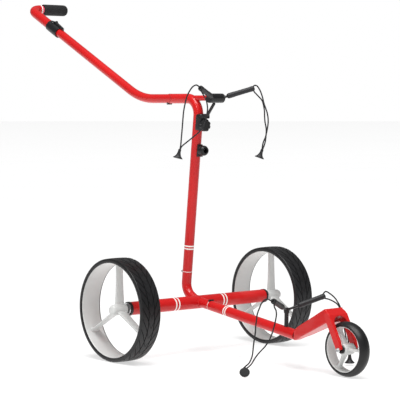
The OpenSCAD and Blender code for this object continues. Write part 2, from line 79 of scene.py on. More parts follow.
def mast_y(z):
    """Where the mast's straight centre line is at a height."""
    return FOOT_Y - (z - FOOT_Z) * math.tan(LEAN)


def front_z(y):
    """How high the front tube's centre line is at a distance behind the axle."""
    return STUB_Z + y * math.tan(DROOP)


def on_slope(x, along, up):
    """A point given along the sloping drawbar."""
    return at(x, BOW_Y + along * math.cos(SLOPE) - up * math.sin(SLOPE),
              BAR_Z + along * math.sin(SLOPE) + up * math.cos(SLOPE))


# ---- camera ----

camera_data = bpy.data.cameras.new("camera")
camera = bpy.data.objects.new("camera", camera_data)
bpy.context.scene.collection.objects.link(camera)
camera.location = (-3.26468, -3.92713, 0.72945)
camera.rotation_euler = (math.radians(90 - 3.276), 0, math.radians(-40.433))
camera_data.sensor_width = 36
camera_data.lens = 157.27
camera_data.clip_end = 60
bpy.context.scene.camera = camera


# ---- materials ----

def new_material(name):
    """A material with its node tree, shader and texture coordinates."""
    material = bpy.data.materials.new(name)
    material.use_nodes = True
    tree = material.node_tree
    shader = tree.nodes["Principled BSDF"]
    where = tree.nodes.new("ShaderNodeTexCoord")
    return material, tree, shader, where


def noise(tree, where, scale, detail=3.0, stretch=(1, 1, 1), rough=0.55):
    """Noise in the object's own space."""
    mapping = tree.nodes.new("ShaderNodeMapping")
    mapping.inputs["Scale"].default_value = stretch
    tree.links.new(where.outputs["Object"], mapping.inputs["Vector"])
    texture = tree.nodes.new("ShaderNodeTexNoise")
    texture.inputs["Scale"].default_value = scale
    texture.inputs["Detail"].default_value = detail
    texture.inputs["Roughness"].default_value = rough
    tree.links.new(mapping.outputs["Vector"], texture.inputs["Vector"])
    return texture.outputs["Fac"]


def ramp(tree, value, low, high):
    """Value turned into a colour between low and high."""
    node = tree.nodes.new("ShaderNodeValToRGB")
    node.color_ramp.elements[0].position = 0.35
    node.color_ramp.elements[1].position = 0.65
    node.color_ramp.elements[0].color = (*low, 1)
    node.color_ramp.elements[1].color = (*high, 1)
    tree.links.new(value, node.inputs["Fac"])
    return node.outputs["Color"]


def spread(tree, value, low, high):
    """The middle of a noise's range stretched to run from low to high."""
    node = tree.nodes.new("ShaderNodeMapRange")
    node.inputs["From Min"].default_value = 0.3
    node.inputs["From Max"].default_value = 0.7
    node.inputs["To Min"].default_value = low
    node.inputs["To Max"].default_value = high
    tree.links.new(value, node.inputs["Value"])
    return node.outputs["Result"]


def bump(tree, shader, heights):
    """Chains (height, strength, distance in mm) bumps into the shader."""
    previous = None
    for height, strength, distance in heights:
        node = tree.nodes.new("ShaderNodeBump")
        node.inputs["Strength"].default_value = strength
        node.inputs["Distance"].default_value = distance * 0.001
        tree.links.new(height, node.inputs["Height"])
        if previous:
            tree.links.new(previous, node.inputs["Normal"])
        previous = node.outputs["Normal"]
    tree.links.new(previous, shader.inputs["Normal"])


def surface(name, low, high, rough, grain, strength, distance, metallic=0.0, patches=7.0,
            coat=0.0, specular=0.5, stretch=(1, 1, 1), streak=None):
    """Base colour that drifts between two tones, uneven roughness, and a fine grain.

    streak adds a second, stretched grain: (scale, stretch, strength, distance).
    """
    material, tree, shader, where = new_material(name)
    drift = noise(tree, where, patches, 4.0)
    tree.links.new(ramp(tree, drift, low, high), shader.inputs["Base Color"])
    handled = noise(tree, where, patches * 6, 5.0, rough=0.7)
    tree.links.new(spread(tree, handled, rough[0], rough[1]), shader.inputs["Roughness"])
    heights = [(noise(tree, where, grain, 2.0, stretch), strength, distance)]
    if streak:
        heights.append((noise(tree, where, streak[0], 2.0, streak[1]), streak[2], streak[3]))
    bump(tree, shader, heights)
    shader.inputs["Metallic"].default_value = metallic
    shader.inputs["Coat Weight"].default_value = coat
    shader.inputs["Coat Roughness"].default_value = 0.08
    shader.inputs["Specular IOR Level"].default_value = specular
    return material


RED = surface("red_paint", (0.50, 0.006, 0.007), (0.56, 0.009, 0.009), (0.30, 0.40), 300, 0.012, 0.02,
              coat=0.3, patches=5, specular=0.22)
# White paint of the bands and the handle ring; the same white also draws the painted highlights at the
# tube seams.
WHITE_PAINT_AND_HIGHLIGHT = surface("white_paint_and_highlight", (0.80, 0.78, 0.74), (0.86, 0.85, 0.82), (0.25, 0.4), 500, 0.06, 0.03,
                      coat=0.1)
RIM = surface("white_rim", (0.56, 0.565, 0.555), (0.62, 0.625, 0.615), (0.30, 0.44), 700, 0.08, 0.03,
              specular=0.4)
TYRE = surface("tyre_rubber", (0.006, 0.006, 0.0065), (0.011, 0.011, 0.012), (0.30, 0.46), 900, 0.22,
               0.06, specular=0.34)
RUBBER = surface("black_rubber", (0.012, 0.012, 0.013), (0.022, 0.022, 0.024), (0.40, 0.58), 1100, 0.22,
                 0.07, specular=0.32)
PLASTIC = surface("black_plastic", (0.007, 0.007, 0.008), (0.013, 0.013, 0.014), (0.26, 0.40), 1500, 0.14,
                  0.04, specular=0.32)
FOAM = surface("grip_foam", (0.008, 0.008, 0.0085), (0.017, 0.017, 0.018), (0.62, 0.80), 1600, 0.45, 0.12,
               streak=(260, (0.05, 1, 1), 0.4, 0.25), specular=0.28)
STEEL = surface("steel", (0.52, 0.53, 0.54), (0.64, 0.65, 0.66), (0.22, 0.36), 800, 0.18, 0.04,
                metallic=1.0, stretch=(8, 1, 1))
ALLOY = surface("motor_alloy", (0.55, 0.56, 0.58), (0.66, 0.67, 0.68), (0.35, 0.5), 900, 0.15, 0.05,
                metallic=1.0)
DIAL = surface("red_plastic", (0.62, 0.05, 0.09), (0.70, 0.08, 0.13), (0.25, 0.38), 900, 0.12, 0.05,
               coat=0.3)
BOARD = surface("board", (0.02, 0.10, 0.03), (0.04, 0.16, 0.05), (0.4, 0.55), 600, 0.2, 0.08)


def cord_material():
    """Woven sheath of an elastic cord: two crossed sets of fine diagonal threads."""
    material, tree, shader, where = new_material("elastic_cord")
    heights = []
    for turn in (0.9, -0.9):
        mapping = tree.nodes.new("ShaderNodeMapping")
        mapping.inputs["Rotation"].default_value = (turn, turn * 0.6, 0)
        tree.links.new(where.outputs["Object"], mapping.inputs["Vector"])
        wave = tree.nodes.new("ShaderNodeTexWave")
        wave.inputs["Scale"].default_value = 330
        wave.inputs["Distortion"].default_value = 1.5
        tree.links.new(mapping.outputs["Vector"], wave.inputs["Vector"])
        heights.append((wave.outputs["Fac"], 0.35, 0.15))
    bump(tree, shader, heights)
    drift = noise(tree, where, 60, 3)
    colour = ramp(tree, drift, (0.010, 0.010, 0.011), (0.026, 0.026, 0.028))
    tree.links.new(colour, shader.inputs["Base Color"])
    tree.links.new(spread(tree, drift, 0.55, 0.75), shader.inputs["Roughness"])
    shader.inputs["Specular IOR Level"].default_value = 0.3
    return material


CORD = cord_material()


# ---- mesh tools ----

def link(name, mesh, material, body, replaces=(), slot=None, smooth=40):
    """Adds a finished mesh to the scene as a piece of a body."""
    mesh.validate()
    piece = bpy.data.objects.new(name, mesh)
    bpy.context.scene.collection.objects.link(piece)
    mesh.materials.clear()
    mesh.materials.append(material)
    mesh.shade_smooth()
    if smooth < 180:
        mesh.set_sharp_from_angle(angle=math.radians(smooth))
    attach(piece, body)
    if replaces:
        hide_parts(*replaces)
    return piece


def mesh_of(name, points, faces):
    """A mesh with its normals outwards."""
    mesh = bpy.data.meshes.new(name)
    mesh.from_pydata([tuple(p) for p in points], [], faces)
    tidy = bmesh.new()
    tidy.from_mesh(mesh)
    bmesh.ops.recalc_face_normals(tidy, faces=tidy.faces)
    tidy.to_mesh(mesh)
    tidy.free()
    return mesh


def rounded(corners, closed=False, steps=4):
    """Outline corners (r, s, fillet) with each corner rounded off."""
    outline = []
    last = len(corners) - 1
    for i, corner in enumerate(corners):
        fillet = corner[2] if len(corner) > 2 else 0
        if fillet == 0 or (not closed and i in (0, last)):
            outline.append((corner[0], corner[1]))
            continue
        a = Vector(corners[i - 1][:2])
        b = Vector(corner[:2])
        c = Vector(corners[(i + 1) % len(corners)][:2])
        u = (a - b).normalized()
        v = (c - b).normalized()
        half = u.angle(v) / 2
        cut = min(fillet / math.tan(half), 0.48 * (a - b).length, 0.48 * (c - b).length)
        p, q = b + u * cut, b + v * cut
        for k in range(steps + 1):
            t = k / steps
            w = p * (1 - t) ** 2 + b * 2 * t * (1 - t) + q * t * t
            outline.append((w.x, w.y))
    return outline


def frame_of(origin, axis):
    """Rotation and place that carry local Z to an axis."""
    turn = Vector(axis).to_track_quat("Z", "Y").to_matrix().to_4x4()
    return Matrix.Translation(origin) @ turn


def lathe(name, material, body, origin, axis, corners, closed=False, segments=96, wave=None, **links):
    """Turned piece: corners are (radius, distance along the axis, fillet), in millimetres."""
    outline = rounded(corners, closed)
    place = frame_of(origin, axis)
    points, rings, faces = [], [], []
    for r, s in outline:
        if r < 1e-6:
            rings.append([len(points)])
            points.append(place @ Vector((0, 0, s * 0.001)))
            continue
        ring = []
        for k in range(segments):
            angle = 2 * math.pi * k / segments
            radius = (r + (wave(k, r, s) if wave else 0)) * 0.001
            ring.append(len(points))
            points.append(place @ Vector((radius * math.cos(angle), radius * math.sin(angle), s * 0.001)))
        rings.append(ring)
    pairs = list(zip(rings, rings[1:]))
    if closed:
        pairs.append((rings[-1], rings[0]))
    for a, b in pairs:
        for k in range(segments):
            n = (k + 1) % segments
            if len(a) == 1 and len(b) == 1:
                continue
            if len(a) == 1:
                faces.append((a[0], b[k], b[n]))
            elif len(b) == 1:
                faces.append((a[k], a[n], b[0]))
            else:
                faces.append((a[k], a[n], b[n], b[k]))
    return link(name, mesh_of(name, points, faces), material, body, **links)


def evaluated(mesh, name, modifiers):
    """The mesh after modifiers, each given as (type, settings)."""
    helper = bpy.data.objects.new(name, mesh)
    bpy.context.scene.collection.objects.link(helper)
    for kind, settings in modifiers:
        modifier = helper.modifiers.new(kind.lower(), kind)
        for key, value in settings.items():
            setattr(modifier, key, value)
    bpy.context.view_layer.update()
    result = bpy.data.meshes.new_from_object(helper.evaluated_get(bpy.context.evaluated_depsgraph_get()))
    result.name = name
    bpy.data.objects.remove(helper)
    return result


def joined(name, meshes):
    """Several meshes in one."""
    whole = bmesh.new()
    for mesh in meshes:
        whole.from_mesh(mesh)
    mesh = bpy.data.meshes.new(name)
    whole.to_mesh(mesh)
    whole.free()
    return mesh


def softened(name, material, body, meshes, voxel, passes, near=(), **links):
    """Solids merged into one moulding with blended joints and rounded edges.

    near lists (point, radius, passes) where corners are rounded further.
    """
    merged = joined(name, meshes)
    mesh = evaluated(merged, name, [
        ("REMESH", {"mode": "VOXEL", "voxel_size": voxel * 0.001}),
        ("SMOOTH", {"factor": 0.5, "iterations": passes}),
    ])
    if near:
        work = bmesh.new()
        work.from_mesh(mesh)
        for point, radius, more in near:
            inside = [(v, 1 - (v.co - point).length / radius) for v in work.verts
                      if (v.co - point).length < radius]
            for _ in range(more):
                moves = []
                for v, weight in inside:
                    mean = Vector((0, 0, 0))
                    for edge in v.link_edges:
                        mean += edge.other_vert(v).co
                    moves.append((v, v.co.lerp(mean / len(v.link_edges), 0.7 * min(1, 2 * weight))))
                for v, place in moves:
                    v.co = place
        work.to_mesh(mesh)
        work.free()
    return link(name, mesh, material, body, smooth=180, **links)


def cad(*names):
    """Meshes of CAD nodes."""
    return [nodes[n].data for n in names]


def turned_solid(origin, axis, corners, segments=64):
    """A closed turned mesh that isn't a piece yet."""
    outline = rounded(corners)
    place = frame_of(origin, axis)
    points, rings, faces = [], [], []
    for r, s in outline:
        count = 1 if r < 1e-6 else segments
        rings.append(list(range(len(points), len(points) + count)))
        for k in range(count):
            angle = 2 * math.pi * k / segments
            points.append(place @ (Vector((r * math.cos(angle), r * math.sin(angle), s)) * 0.001))
    for a, b in zip(rings, rings[1:]):
        for k in range(segments):
            n = (k + 1) % segments
            if len(a) == 1:
                faces.append((a[0], b[k], b[n]))
            elif len(b) == 1:
                faces.append((a[k], a[n], b[0]))
            else:
                faces.append((a[k], a[n], b[n], b[k]))
    return mesh_of("turned", points, faces)


def loft(sections):
    """A closed solid through rings of points that all have the same count."""
    count = len(sections[0])
    points = [p for ring in sections for p in ring]
    faces = [tuple(range(count - 1, -1, -1)), tuple(range(len(points) - count, len(points)))]
    for i in range(len(sections) - 1):
        for k in range(count):
            n = (k + 1) % count
            faces.append((i * count + k, i * count + n, (i + 1) * count + n, (i + 1) * count + k))
    return mesh_of("loft", points, faces)


def smooth_path(points, steps=6):
    """Catmull-Rom curve through the points."""
    path = []
    ends = [points[0] * 2 - points[1]] + list(points) + [points[-1] * 2 - points[-2]]
    for i in range(1, len(ends) - 2):
        p0, p1, p2, p3 = ends[i - 1:i + 3]
        for k in range(steps):
            t = k / steps
            path.append(0.5 * (2 * p1 + (p2 - p0) * t + (2 * p0 - 5 * p1 + 4 * p2 - p3) * t * t
                               + (3 * p1 - p0 - 3 * p2 + p3) * t ** 3))
    path.append(points[-1])
    return path


def curve_piece(name, material, body, path, radius, cyclic=False, sides=12, **links):
    """Round bar along a path, as a curve of one spline."""
    data = bpy.data.curves.new(name, "CURVE")
    data.dimensions = "3D"
    data.bevel_depth = radius
    data.bevel_resolution = (sides - 4) // 2
    data.use_fill_caps = True
    spline = data.splines.new("POLY")
    spline.points.add(len(path) - 1)
    for point, p in zip(spline.points, path):
        point.co = (*p, 1)
    spline.use_cyclic_u = cyclic
    spline.use_smooth = True
    data.materials.append(material)
    piece = bpy.data.objects.new(name, data)
    bpy.context.scene.collection.objects.link(piece)
    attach(piece, body)
    if links.get("replaces"):
        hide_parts(*links["replaces"])
    return piece


# ---- elastic cords and their toggles ----

# Each loop from its sleeve's tip, down through its toggle and back.
ROUTES = {
    "upper_cord_r": [
        (-99, -126, 765), (-105, -127, 767), (-111, -122, 771), (-119, -115, 765), (-127, -109, 750),
        (-131, -104, 735), (-133, -101, 721), (-136, -98, 699), (-138, -97, 677), (-138, -94, 652),
        (-139, -92, 629), (-141, -91, 604), (-143, -90, 592), (-144, -90, 582), (-146, -93, 582),
        (-145, -94, 592), (-142, -98, 601), (-134, -105, 610), (-119, -118, 626), (-103, -132, 645),
        (-95, -138, 663), (-90, -142, 685), (-88, -144, 707), (-91, -142, 728), (-96, -136, 743),
        (-99, -131, 753), (-99, -128, 758),
    ],
    "upper_cord_l": [
        (98, -128, 767), (101, -130, 771), (107, -135, 769), (113, -141, 756), (118, -145, 738),
        (123, -147, 718), (132, -151, 690), (134, -152, 663), (129, -148, 627), (124, -143, 609),
        (121, -142, 595), (120, -142, 586), (119, -142, 578), (117, -145, 578), (118, -146, 587),
        (121, -149, 598), (124, -152, 614), (126, -153, 644), (123, -151, 666), (122, -150, 683),
        (121, -150, 701), (116, -147, 726), (108, -139, 740), (101, -131, 751), (99, -128, 757),
    ],
    "lower_cord_r": [
        (-95, -421, 194), (-101, -420, 193), (-111, -414, 198), (-123, -409, 189), (-131, -406, 172),
        (-138, -406, 158), (-142, -408, 145), (-148, -411, 128), (-153, -415, 111), (-160, -419, 95),
        (-166, -422, 77), (-175, -428, 55), (-184, -430, 40), (-191, -429, 32), (-200, -427, 26),
        (-208, -432, 22), (-206, -434, 18), (-198, -430, 21), (-191, -434, 27), (-184, -436, 34),
        (-171, -436, 49), (-156, -438, 63), (-140, -440, 76), (-126, -441, 92), (-115, -440, 109),
        (-106, -438, 126), (-100, -437, 142), (-95, -435, 156), (-93, -431, 167), (-95, -427, 176),
        (-95, -425, 186),
    ],
    "lower_cord_l": [
        (93, -421, 195), (95, -421, 199), (99, -426, 204), (106, -435, 198), (114, -444, 188),
        (120, -450, 176), (125, -454, 164), (131, -458, 144), (137, -462, 119), (141, -466, 92),
        (145, -469, 61), (147, -471, 36), (148, -471, 22), (150, -467, 22), (149, -466, 41),
        (145, -461, 66), (142, -457, 93), (138, -452, 122), (134, -449, 149), (129, -444, 165),
        (119, -438, 175), (107, -430, 182), (97, -424, 185),
    ],
}
# Each cord's toggle: its node, its narrow end, and its tilt in degrees about X, Y and Z.
TOGGLES = {
    "upper_cord_r": ("upper_toggle_r", (-144, -91, 592), (9, 11, 0)),
    "upper_cord_l": ("upper_toggle_l", (119, -144, 588), (13, 15, 0)),
    "lower_cord_r": ("lower_toggle_r", (-202, -427, 23), (0, 70, 48.5)),
    "lower_cord_l": ("lower_toggle_l", (149, -469, 32), (0, 0, 0)),
}
CORD_D = 4.0


def toggle_wave(k, r, s):
    """Four shallow finger flutes round the flare."""
    return -0.5 * (0.5 + 0.5 * math.cos(4 * 2 * math.pi * k / 96)) ** 3 if 6 < s < 22 else 0


for cord_name, route in ROUTES.items():
    toggle_name, apex, tip = TOGGLES[cord_name]
    body = "mast" if cord_name.startswith("upper") else "front_arm"
    tilt = Matrix.Identity(3)
    for angle, about in zip(tip, "XYZ"):
        tilt = Matrix.Rotation(math.radians(angle), 3, about) @ tilt
    toggle = lathe(toggle_name + "_cup", RUBBER, body, at(*apex), tilt @ Vector((0, 0, -1)), [
        (0, -0.3), (3.8, -0.3, 1.2), (4.3, 3, 1.0), (4.5, 7, 2), (5.6, 12.5, 3), (7.6, 17.5, 3),
        (11.2, 22, 2), (13.9, 24.4, 0.5), (13.9, 25.7, 0.5), (12.9, 25.9, 0.4), (10.5, 24.6, 1),
        (4.0, 24.0, 1), (0, 24.0)],
        wave=toggle_wave, replaces=[toggle_name], slot="black_rubber")
    path = smooth_path([at(*p) for p in route])
    cord = curve_piece(cord_name + "_loop", CORD, body, path, CORD_D / 2000,
                       replaces=[cord_name], slot="elastic_cord")


# ---- rubber sleeves of the two cradles ----

def sleeves(name, body, apex, tip, node):
    """Two round-ended tubes over the cradle's rods, with a moulded collar and a cord eye at each tip."""
    merged = []
    for side in (-1, 1):
        start = at(*apex)
        end = at(side * tip[0], tip[1], tip[2])
        run = (end - start).length * 1000
        axis = (end - start).normalized()
        near = run * 0.3
        merged.append(turned_solid(start, axis, [
            (0, near), (5.6, near, 0.4), (7.3, near + 2.6, 1.2), (7.75, near + 6, 1),
            (7.75, near + 22, 0.5), (7.35, near + 23, 0.4), (7.35, run - 13, 0.4), (7.75, run - 12, 0.5),
            (7.75, run - 2.4, 1.8), (5.6, run + 0.4, 1.2), (3.4, run + 0.5, 0.5), (2.9, run - 2.5, 0.5),
            (0, run - 2.5)]))
    link(name, joined(name, merged), RUBBER, body, replaces=[node], slot="black_rubber", smooth=35)


sleeves("upper_sleeve_pair", "mast", (0, -77, 730), (101, -128, 763), "upper_sleeves")
sleeves("lower_sleeve_pair", "front_arm", (0, -374, 156), (97, -424, 192), "lower_sleeves")


# ---- rear wheels ----

def tread_rows():
    """Rows of the tyre's outline: distance from its middle, radius, depth of the diagonal grooves."""
    rows = []

    def crown(d):
        return 145.0 - 1.1 * (abs(d) / 33.5) ** 2.5

    half = [(0, 0.0), (1.2, 0.0), (1.6, 0.8), (4.5, 1.2), (7.6, 1.2), (8.0, 0.0), (8.6, 0.0)]
    groove = [(9.0, -2.4), (10.6, -2.4)]
    shoulder = [(11.0, 0.0), (11.4, 1.9), (15, 2.1), (20, 2.1), (25, 2.1), (28.5, 1.9), (30.5, 1.3)]
    side = [(d, crown(d), g) for d, g in half]
    side += [(d, crown(d) + g, 0.0) for d, g in groove]
    side += [(d, crown(d), g) for d, g in shoulder]
    side += [(32.0, 142.9, 0.6)]
    side += [(d, r, 0.0) for d, r in [
        (33.0, 141.6), (33.5, 139.6), (33.5, 137.4), (33.5, 134.6), (33.2, 133.4), (32.4, 132.6),
        (31.2, 132.35), (30.6, 132.35), (30.5, 137.0)]]
    for d, r, g in reversed(side):
        rows.append((-d, r, g))
    return rows + [row for row in side if row[0] > 0]


def rear_tyre(name, side, body, node):
    """Tyre with a tread of V grooves: steps lists where round one pitch a groove is cut."""
    rows = tread_rows()
    pitches = 30
    steps = [(0.0, 0), (0.035, 1), (0.11, 1), (0.145, 0), (0.36, 0), (0.58, 0), (0.8, 0)]
    points, faces = [], []
    columns = pitches * len(steps)
    for p in range(pitches):
        for part, cut in steps:
            base = 2 * math.pi * (p + part) / pitches
            for d, r, g in rows:
                turn = base + 0.46 * min(1.0, abs(d) / 33.5) ** 0.85
                radius = (r - g * cut) * 0.001
                points.append(at(side * (WHEEL_X + d), 0, AXLE_Z)
                              + Vector((0, radius * math.sin(turn), radius * math.cos(turn))))
    n = len(rows)
    for i in range(columns):
        j = (i + 1) % columns
        for k in range(n):
            m = (k + 1) % n
            faces.append((i * n + k, j * n + k, j * n + m, i * n + m))
    link(name, mesh_of(name, points, faces), TYRE, body, replaces=[node], slot="tyre_rubber", smooth=32)


def blade(side, angle, sections, place):
    """One spoke as a loft: sections are (radius, middle, half width, half thickness) in millimetres."""
    rings = []
    radial = Vector((0, math.cos(angle), math.sin(angle)))
    across = Vector((0, -math.sin(angle), math.cos(angle)))
    for radius, middle, half_w, half_t in sections:
        ring = []
        for k in range(20):
            u = 2 * math.pi * k / 20
            cu, su = math.cos(u), math.sin(u)
            x = half_w * math.copysign(abs(cu) ** 0.55, cu)
            t = half_t * math.copysign(abs(su) ** 0.75, su)
            ring.append(place + (Vector((side * middle + x, 0, 0)) + radial * radius + across * t) * 0.001)
        rings.append(ring)
    return loft(rings)


def rear_wheel(tag, side):
    """Tyre, rim barrel, and the hub with its three spokes."""
    body = "wheel_" + tag
    centre = at(0, 0, AXLE_Z)
    out = Vector((side, 0, 0))
    rear_tyre("tyre_%s_tread" % tag, side, body, "tyre_" + tag)
    lathe("rim_%s_barrel" % tag, RIM, body, centre, out, [
        (132.6, 258, 0.8), (131.6, 261, 1), (132.4, 266, 1.5), (132.8, 289, 0), (132.4, 312, 1.5),
        (131.5, 316.5, 1), (132.7, 319, 0.8), (137, 319, 0.4), (137, 258, 0.4)],
        closed=True, segments=144, replaces=["rim_" + tag], slot="white_rim")
    parts = [turned_solid(centre, out, [
        (0, 267.5), (14.2, 267.5, 1.0), (15.0, 270, 1.0), (15.0, 279, 2), (15.6, 287, 3), (15.0, 303, 3),
        (14.4, 312, 3), (11.8, 317.2, 3), (6.5, 319.4, 3), (0, 319.8)], 72)]
    for angle in (90, 210, 330):
        parts.append(blade(side, math.radians(angle), [
            (6, 288, 15.5, 5.5), (14, 288, 15.5, 4.8), (24, 288, 15.2, 3.7), (60, 288, 13.4, 3.3),
            (100, 288, 12.0, 3.2), (122, 288, 12.2, 3.5), (129, 288, 13.4, 5.0), (133.5, 288, 15.5, 8.0)],
            centre))
    softened("rim_%s_spokes" % tag, RIM, body, parts, 1.25, 6, slot="white_rim")


rear_wheel("r", -1)
rear_wheel("l", 1)


# ---- front wheel and fork ----

FRONT = at(0, -REACH, FRONT_Z)
arc = [(49.5 + 24 * math.cos(math.radians(a)), 24 * math.sin(math.radians(a)))
       for a in range(-46, 47, 4)]
lathe("front_tyre_round", TYRE, "front_wheel", FRONT, ACROSS,
      [(62.2, -15.4, 0.3), (60.6, -15.6, 0.5), (60.6, -17.2, 0.8), (63.5, -17.5, 0.8)] + arc
      + [(63.5, 17.5, 0.8), (60.6, 17.2, 0.8), (60.6, 15.6, 0.5), (62.2, 15.4, 0.3)],
      closed=True, segments=160, replaces=["front_tyre"], slot="tyre_rubber")
lathe("front_rim_barrel", RIM, "front_wheel", FRONT, ACROSS, [
    (62, -15.2, 0.3), (60.8, -16.4, 0.5), (58.8, -16.0, 0.8), (58.3, -13, 0.8), (58.9, -9, 1),
    (59.0, 0, 0), (58.9, 9, 1), (58.3, 13, 0.8), (58.8, 16.0, 0.8), (60.8, 16.4, 0.5), (62, 15.2, 0.3)],
    closed=True, segments=128, replaces=["front_rim"], slot="white_rim")
front_parts = [turned_solid(FRONT, ACROSS, [
    (5.2, -18), (13.4, -18, 1.0), (15, -16, 1.5), (15, 16, 1.5), (13.4, 18, 1.0), (5.2, 18),
    (5.2, -18)])]
for angle in (60, 180, 300):
    front_parts.append(blade(1, math.radians(angle), [
        (8, 0, 10.5, 5.6), (15, 0, 10.0, 4.8), (24, 0, 9.0, 4.1), (40, 0, 7.8, 3.8), (50, 0, 7.6, 4.3),
        (55.5, 0, 8.4, 6.2), (59.5, 0, 10.5, 9.5)], FRONT))
softened("front_rim_spokes", RIM, "front_wheel", front_parts, 0.9, 5, slot="white_rim")
for side in (-1, 1):
    name = "axle_bolt_" + ("r" if side < 0 else "l")
    out = Vector((side, 0, 0))
    bolt = turned_solid(FRONT, out, [
        (0, 34), (6.4, 34, 0.2), (6.4, 35.2, 0.3), (5.4, 35.4, 0.2), (5.4, 37.2, 0.6), (4.6, 38, 0.4),
        (2.5, 38, 0.2), (2.2, 36, 0.2), (0, 35.8)], 48)
    link(name, bolt, STEEL, "front_arm", slot="steel")
    lathe("axle_spacer_" + name[-1], PLASTIC, "front_arm", FRONT, out, [
        (4.2, 18.6, 0.2), (9.2, 18.6, 0.6), (10, 19.6, 0.6), (10, 23.9, 0.3), (4.2, 23.9, 0.2)],
        closed=True, segments=64, slot="black_plastic")
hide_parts("front_axle_set")

softened("front_fork_welded", RED, "front_arm", cad("fork", "fork_neck"), 1.35, 7,
         near=[(at(0, -414, 78), 0.046, 70)], replaces=["fork", "fork_neck"], slot="red_paint")


# ---- cradles, clamp and power socket ----

softened("upper_cradle_moulding", PLASTIC, "mast", cad("upper_holder", "stay_strut"), 0.9, 10,
         replaces=["upper_holder", "stay_strut"], slot="black_plastic")
block_edges = [at(x, y, z) for x in (-15, 15) for y in (-25, -2) for z in (641, 665, 690)]
softened("clamp_block_moulding", PLASTIC, "mast", cad("clamp_block"), 1.1, 20,
         near=[(point, 0.015, 50) for point in block_edges],
         replaces=["clamp_block"], slot="black_plastic")
softened("lower_cradle_moulding", PLASTIC, "front_arm", cad("lower_holder"), 0.8, 5,
         replaces=["lower_holder"], slot="black_plastic")
softened("clamp_knob_lobed", PLASTIC, "knob", cad("clamp_knob"), 0.6, 6, replaces=["clamp_knob"],
         slot="black_plastic")
lathe("clamp_knob_cap", STEEL, "knob", at(0, -34.4, KNOB_Z), FORWARD, [
    (0, -2), (5.2, -2, 0.2), (5.2, 0.3, 0.4), (4.2, 0.5, 0.2), (0, 0.5)], segments=48, slot="steel")
softened("socket_saddle_moulding", PLASTIC, "mast", cad("socket_saddle"), 0.9, 16,
         replaces=["socket_saddle"], slot="black_plastic")
lathe("power_socket_barrel", PLASTIC, "mast", at(0, 0, SOCKET_Z), FORWARD, [
    (0, 6), (6, 6, 0.5), (6, 12, 0.5), (14.8, 13.1, 1.2), (15, 20, 0.3), (14.5, 20.5, 0.2),
    (14.5, 21.5, 0.2), (15, 22, 0.3), (14.6, 28, 4), (11.2, 33.9, 3.5), (8.2, 34.9, 0.8), (7.2, 33.9, 0.5),
    (7.0, 16.2, 0.3), (0, 16.2)], replaces=["power_socket"], slot="black_plastic")
for k in range(3):
    turn = 2 * math.pi * k / 3 + 0.5
    lathe("socket_contact_%d" % k, STEEL, "mast",
          at(3.6 * math.cos(turn), -16.0, SOCKET_Z + 3.6 * math.sin(turn)), FORWARD,
          [(0, 0), (0.9, 0, 0.1), (0.9, 9, 0.5), (0, 9.4)], segments=24, slot="steel")


# ---- handle ----

GRIP = at(0, GRIP_Y, GRIP_Z)
HANDLE_START = 468
ELBOW_S = GRIP_S - ELBOW_R
elbow = [on_slope(0, HANDLE_START + k * (ELBOW_S - HANDLE_START) / 6, 0) for k in range(7)]
elbow += [on_slope(ELBOW_R - ELBOW_R * math.cos(a), ELBOW_S + ELBOW_R * math.sin(a), 0)
          for a in (math.radians(k * 4.5) for k in range(1, 21))]
elbow += [on_slope(ELBOW_R + 4, GRIP_S, 0)]
curve_piece("handle_tube_bent", RED, "handle", elbow, 0.0145, sides=48, replaces=["handle_tube"],
            slot="red_paint")


def grip_wave(k, r, s):
    """Fine lengthwise ribs that die out at both ends."""
    return -0.32 * (k % 4 == 0) * (52 < s < 131)


lathe("grip_foam_sleeve", FOAM, "handle", GRIP, ACROSS, [
    (11.2, 48.0), (15.6, 48.0, 0.8), (17.2, 49.0, 1.0), (17.8, 51.5, 0), (17.85, 53, 0), (17.95, 80, 0),
    (17.85, 124, 0), (17.7, 130, 0), (16.9, 134.6, 2), (14.2, 138.6, 3), (10.4, 139.9, 1.5),
    (7.6, 139.9, 0.5), (7.1, 138.6, 0.3), (7.1, 132.6)],
    segments=192, wave=grip_wave, replaces=["grip"], slot="grip_foam")
lathe("power_button_cap", DIAL, "button", GRIP, ACROSS, [
    (0, 135), (6.4, 135, 0.3), (6.4, 139.2, 0.9), (5.2, 140.2, 0.6), (0, 140.9)],
    segments=64, replaces=["power_button"], slot="red_plastic")


def dial_wave(k, r, s):
    """Knurling round the dial's rim."""
    return -0.45 * (k % 6 in (0, 1)) * (41.6 < s < 46.4)


lathe("speed_dial_knurled", DIAL, "dial", GRIP, ACROSS, [
    (11.1, 40.4, 0.2), (12.6, 40.4, 0.5), (13.4, 41.4, 0.3), (13.5, 42, 0), (13.5, 46, 0),
    (13.4, 46.5, 0.3), (12.6, 47.4, 0.5), (11.1, 47.4, 0.2)],
    closed=True, segments=144, wave=dial_wave, replaces=["speed_dial"], slot="red_plastic")
lathe("handle_end_ring", WHITE_PAINT_AND_HIGHLIGHT, "handle", GRIP, ACROSS, [
    (14.5, 36.3, 0.2), (15.2, 36.4, 0.4), (15.5, 37.4, 0.5), (15.5, 38.8, 0.5), (15.2, 39.7, 0.4),
    (13.4, 39.9, 0.2)],
    closed=True, replaces=["handle_ring"], slot="white_rim")
softened("clamp_collar_moulding", PLASTIC, "handle", cad("clamp_collar"), 0.5, 4,
         replaces=["clamp_collar"], slot="black_plastic")
softened("clamp_lever_moulding", PLASTIC, "lever", cad("clamp_lever"), 0.5, 3,
         replaces=["clamp_lever"], slot="black_plastic")


# ---- painted rings on the tubes, painted highlights at two seams, and the bar seam's painted shadow ----

def ring(name, body, centre, axis, radius, width, proud=0.12):
    """Painted white ring round a tube, a hair proud of it; it draws the white bands and, at the seams,
    painted highlights of the seam edges.
    """
    lathe(name, WHITE_PAINT_AND_HIGHLIGHT, body, centre, axis, [
        (radius - 0.4, -width / 2), (radius + proud, -width / 2, 0.08),
        (radius + proud, width / 2, 0.08), (radius - 0.4, width / 2)], slot="white_rim")


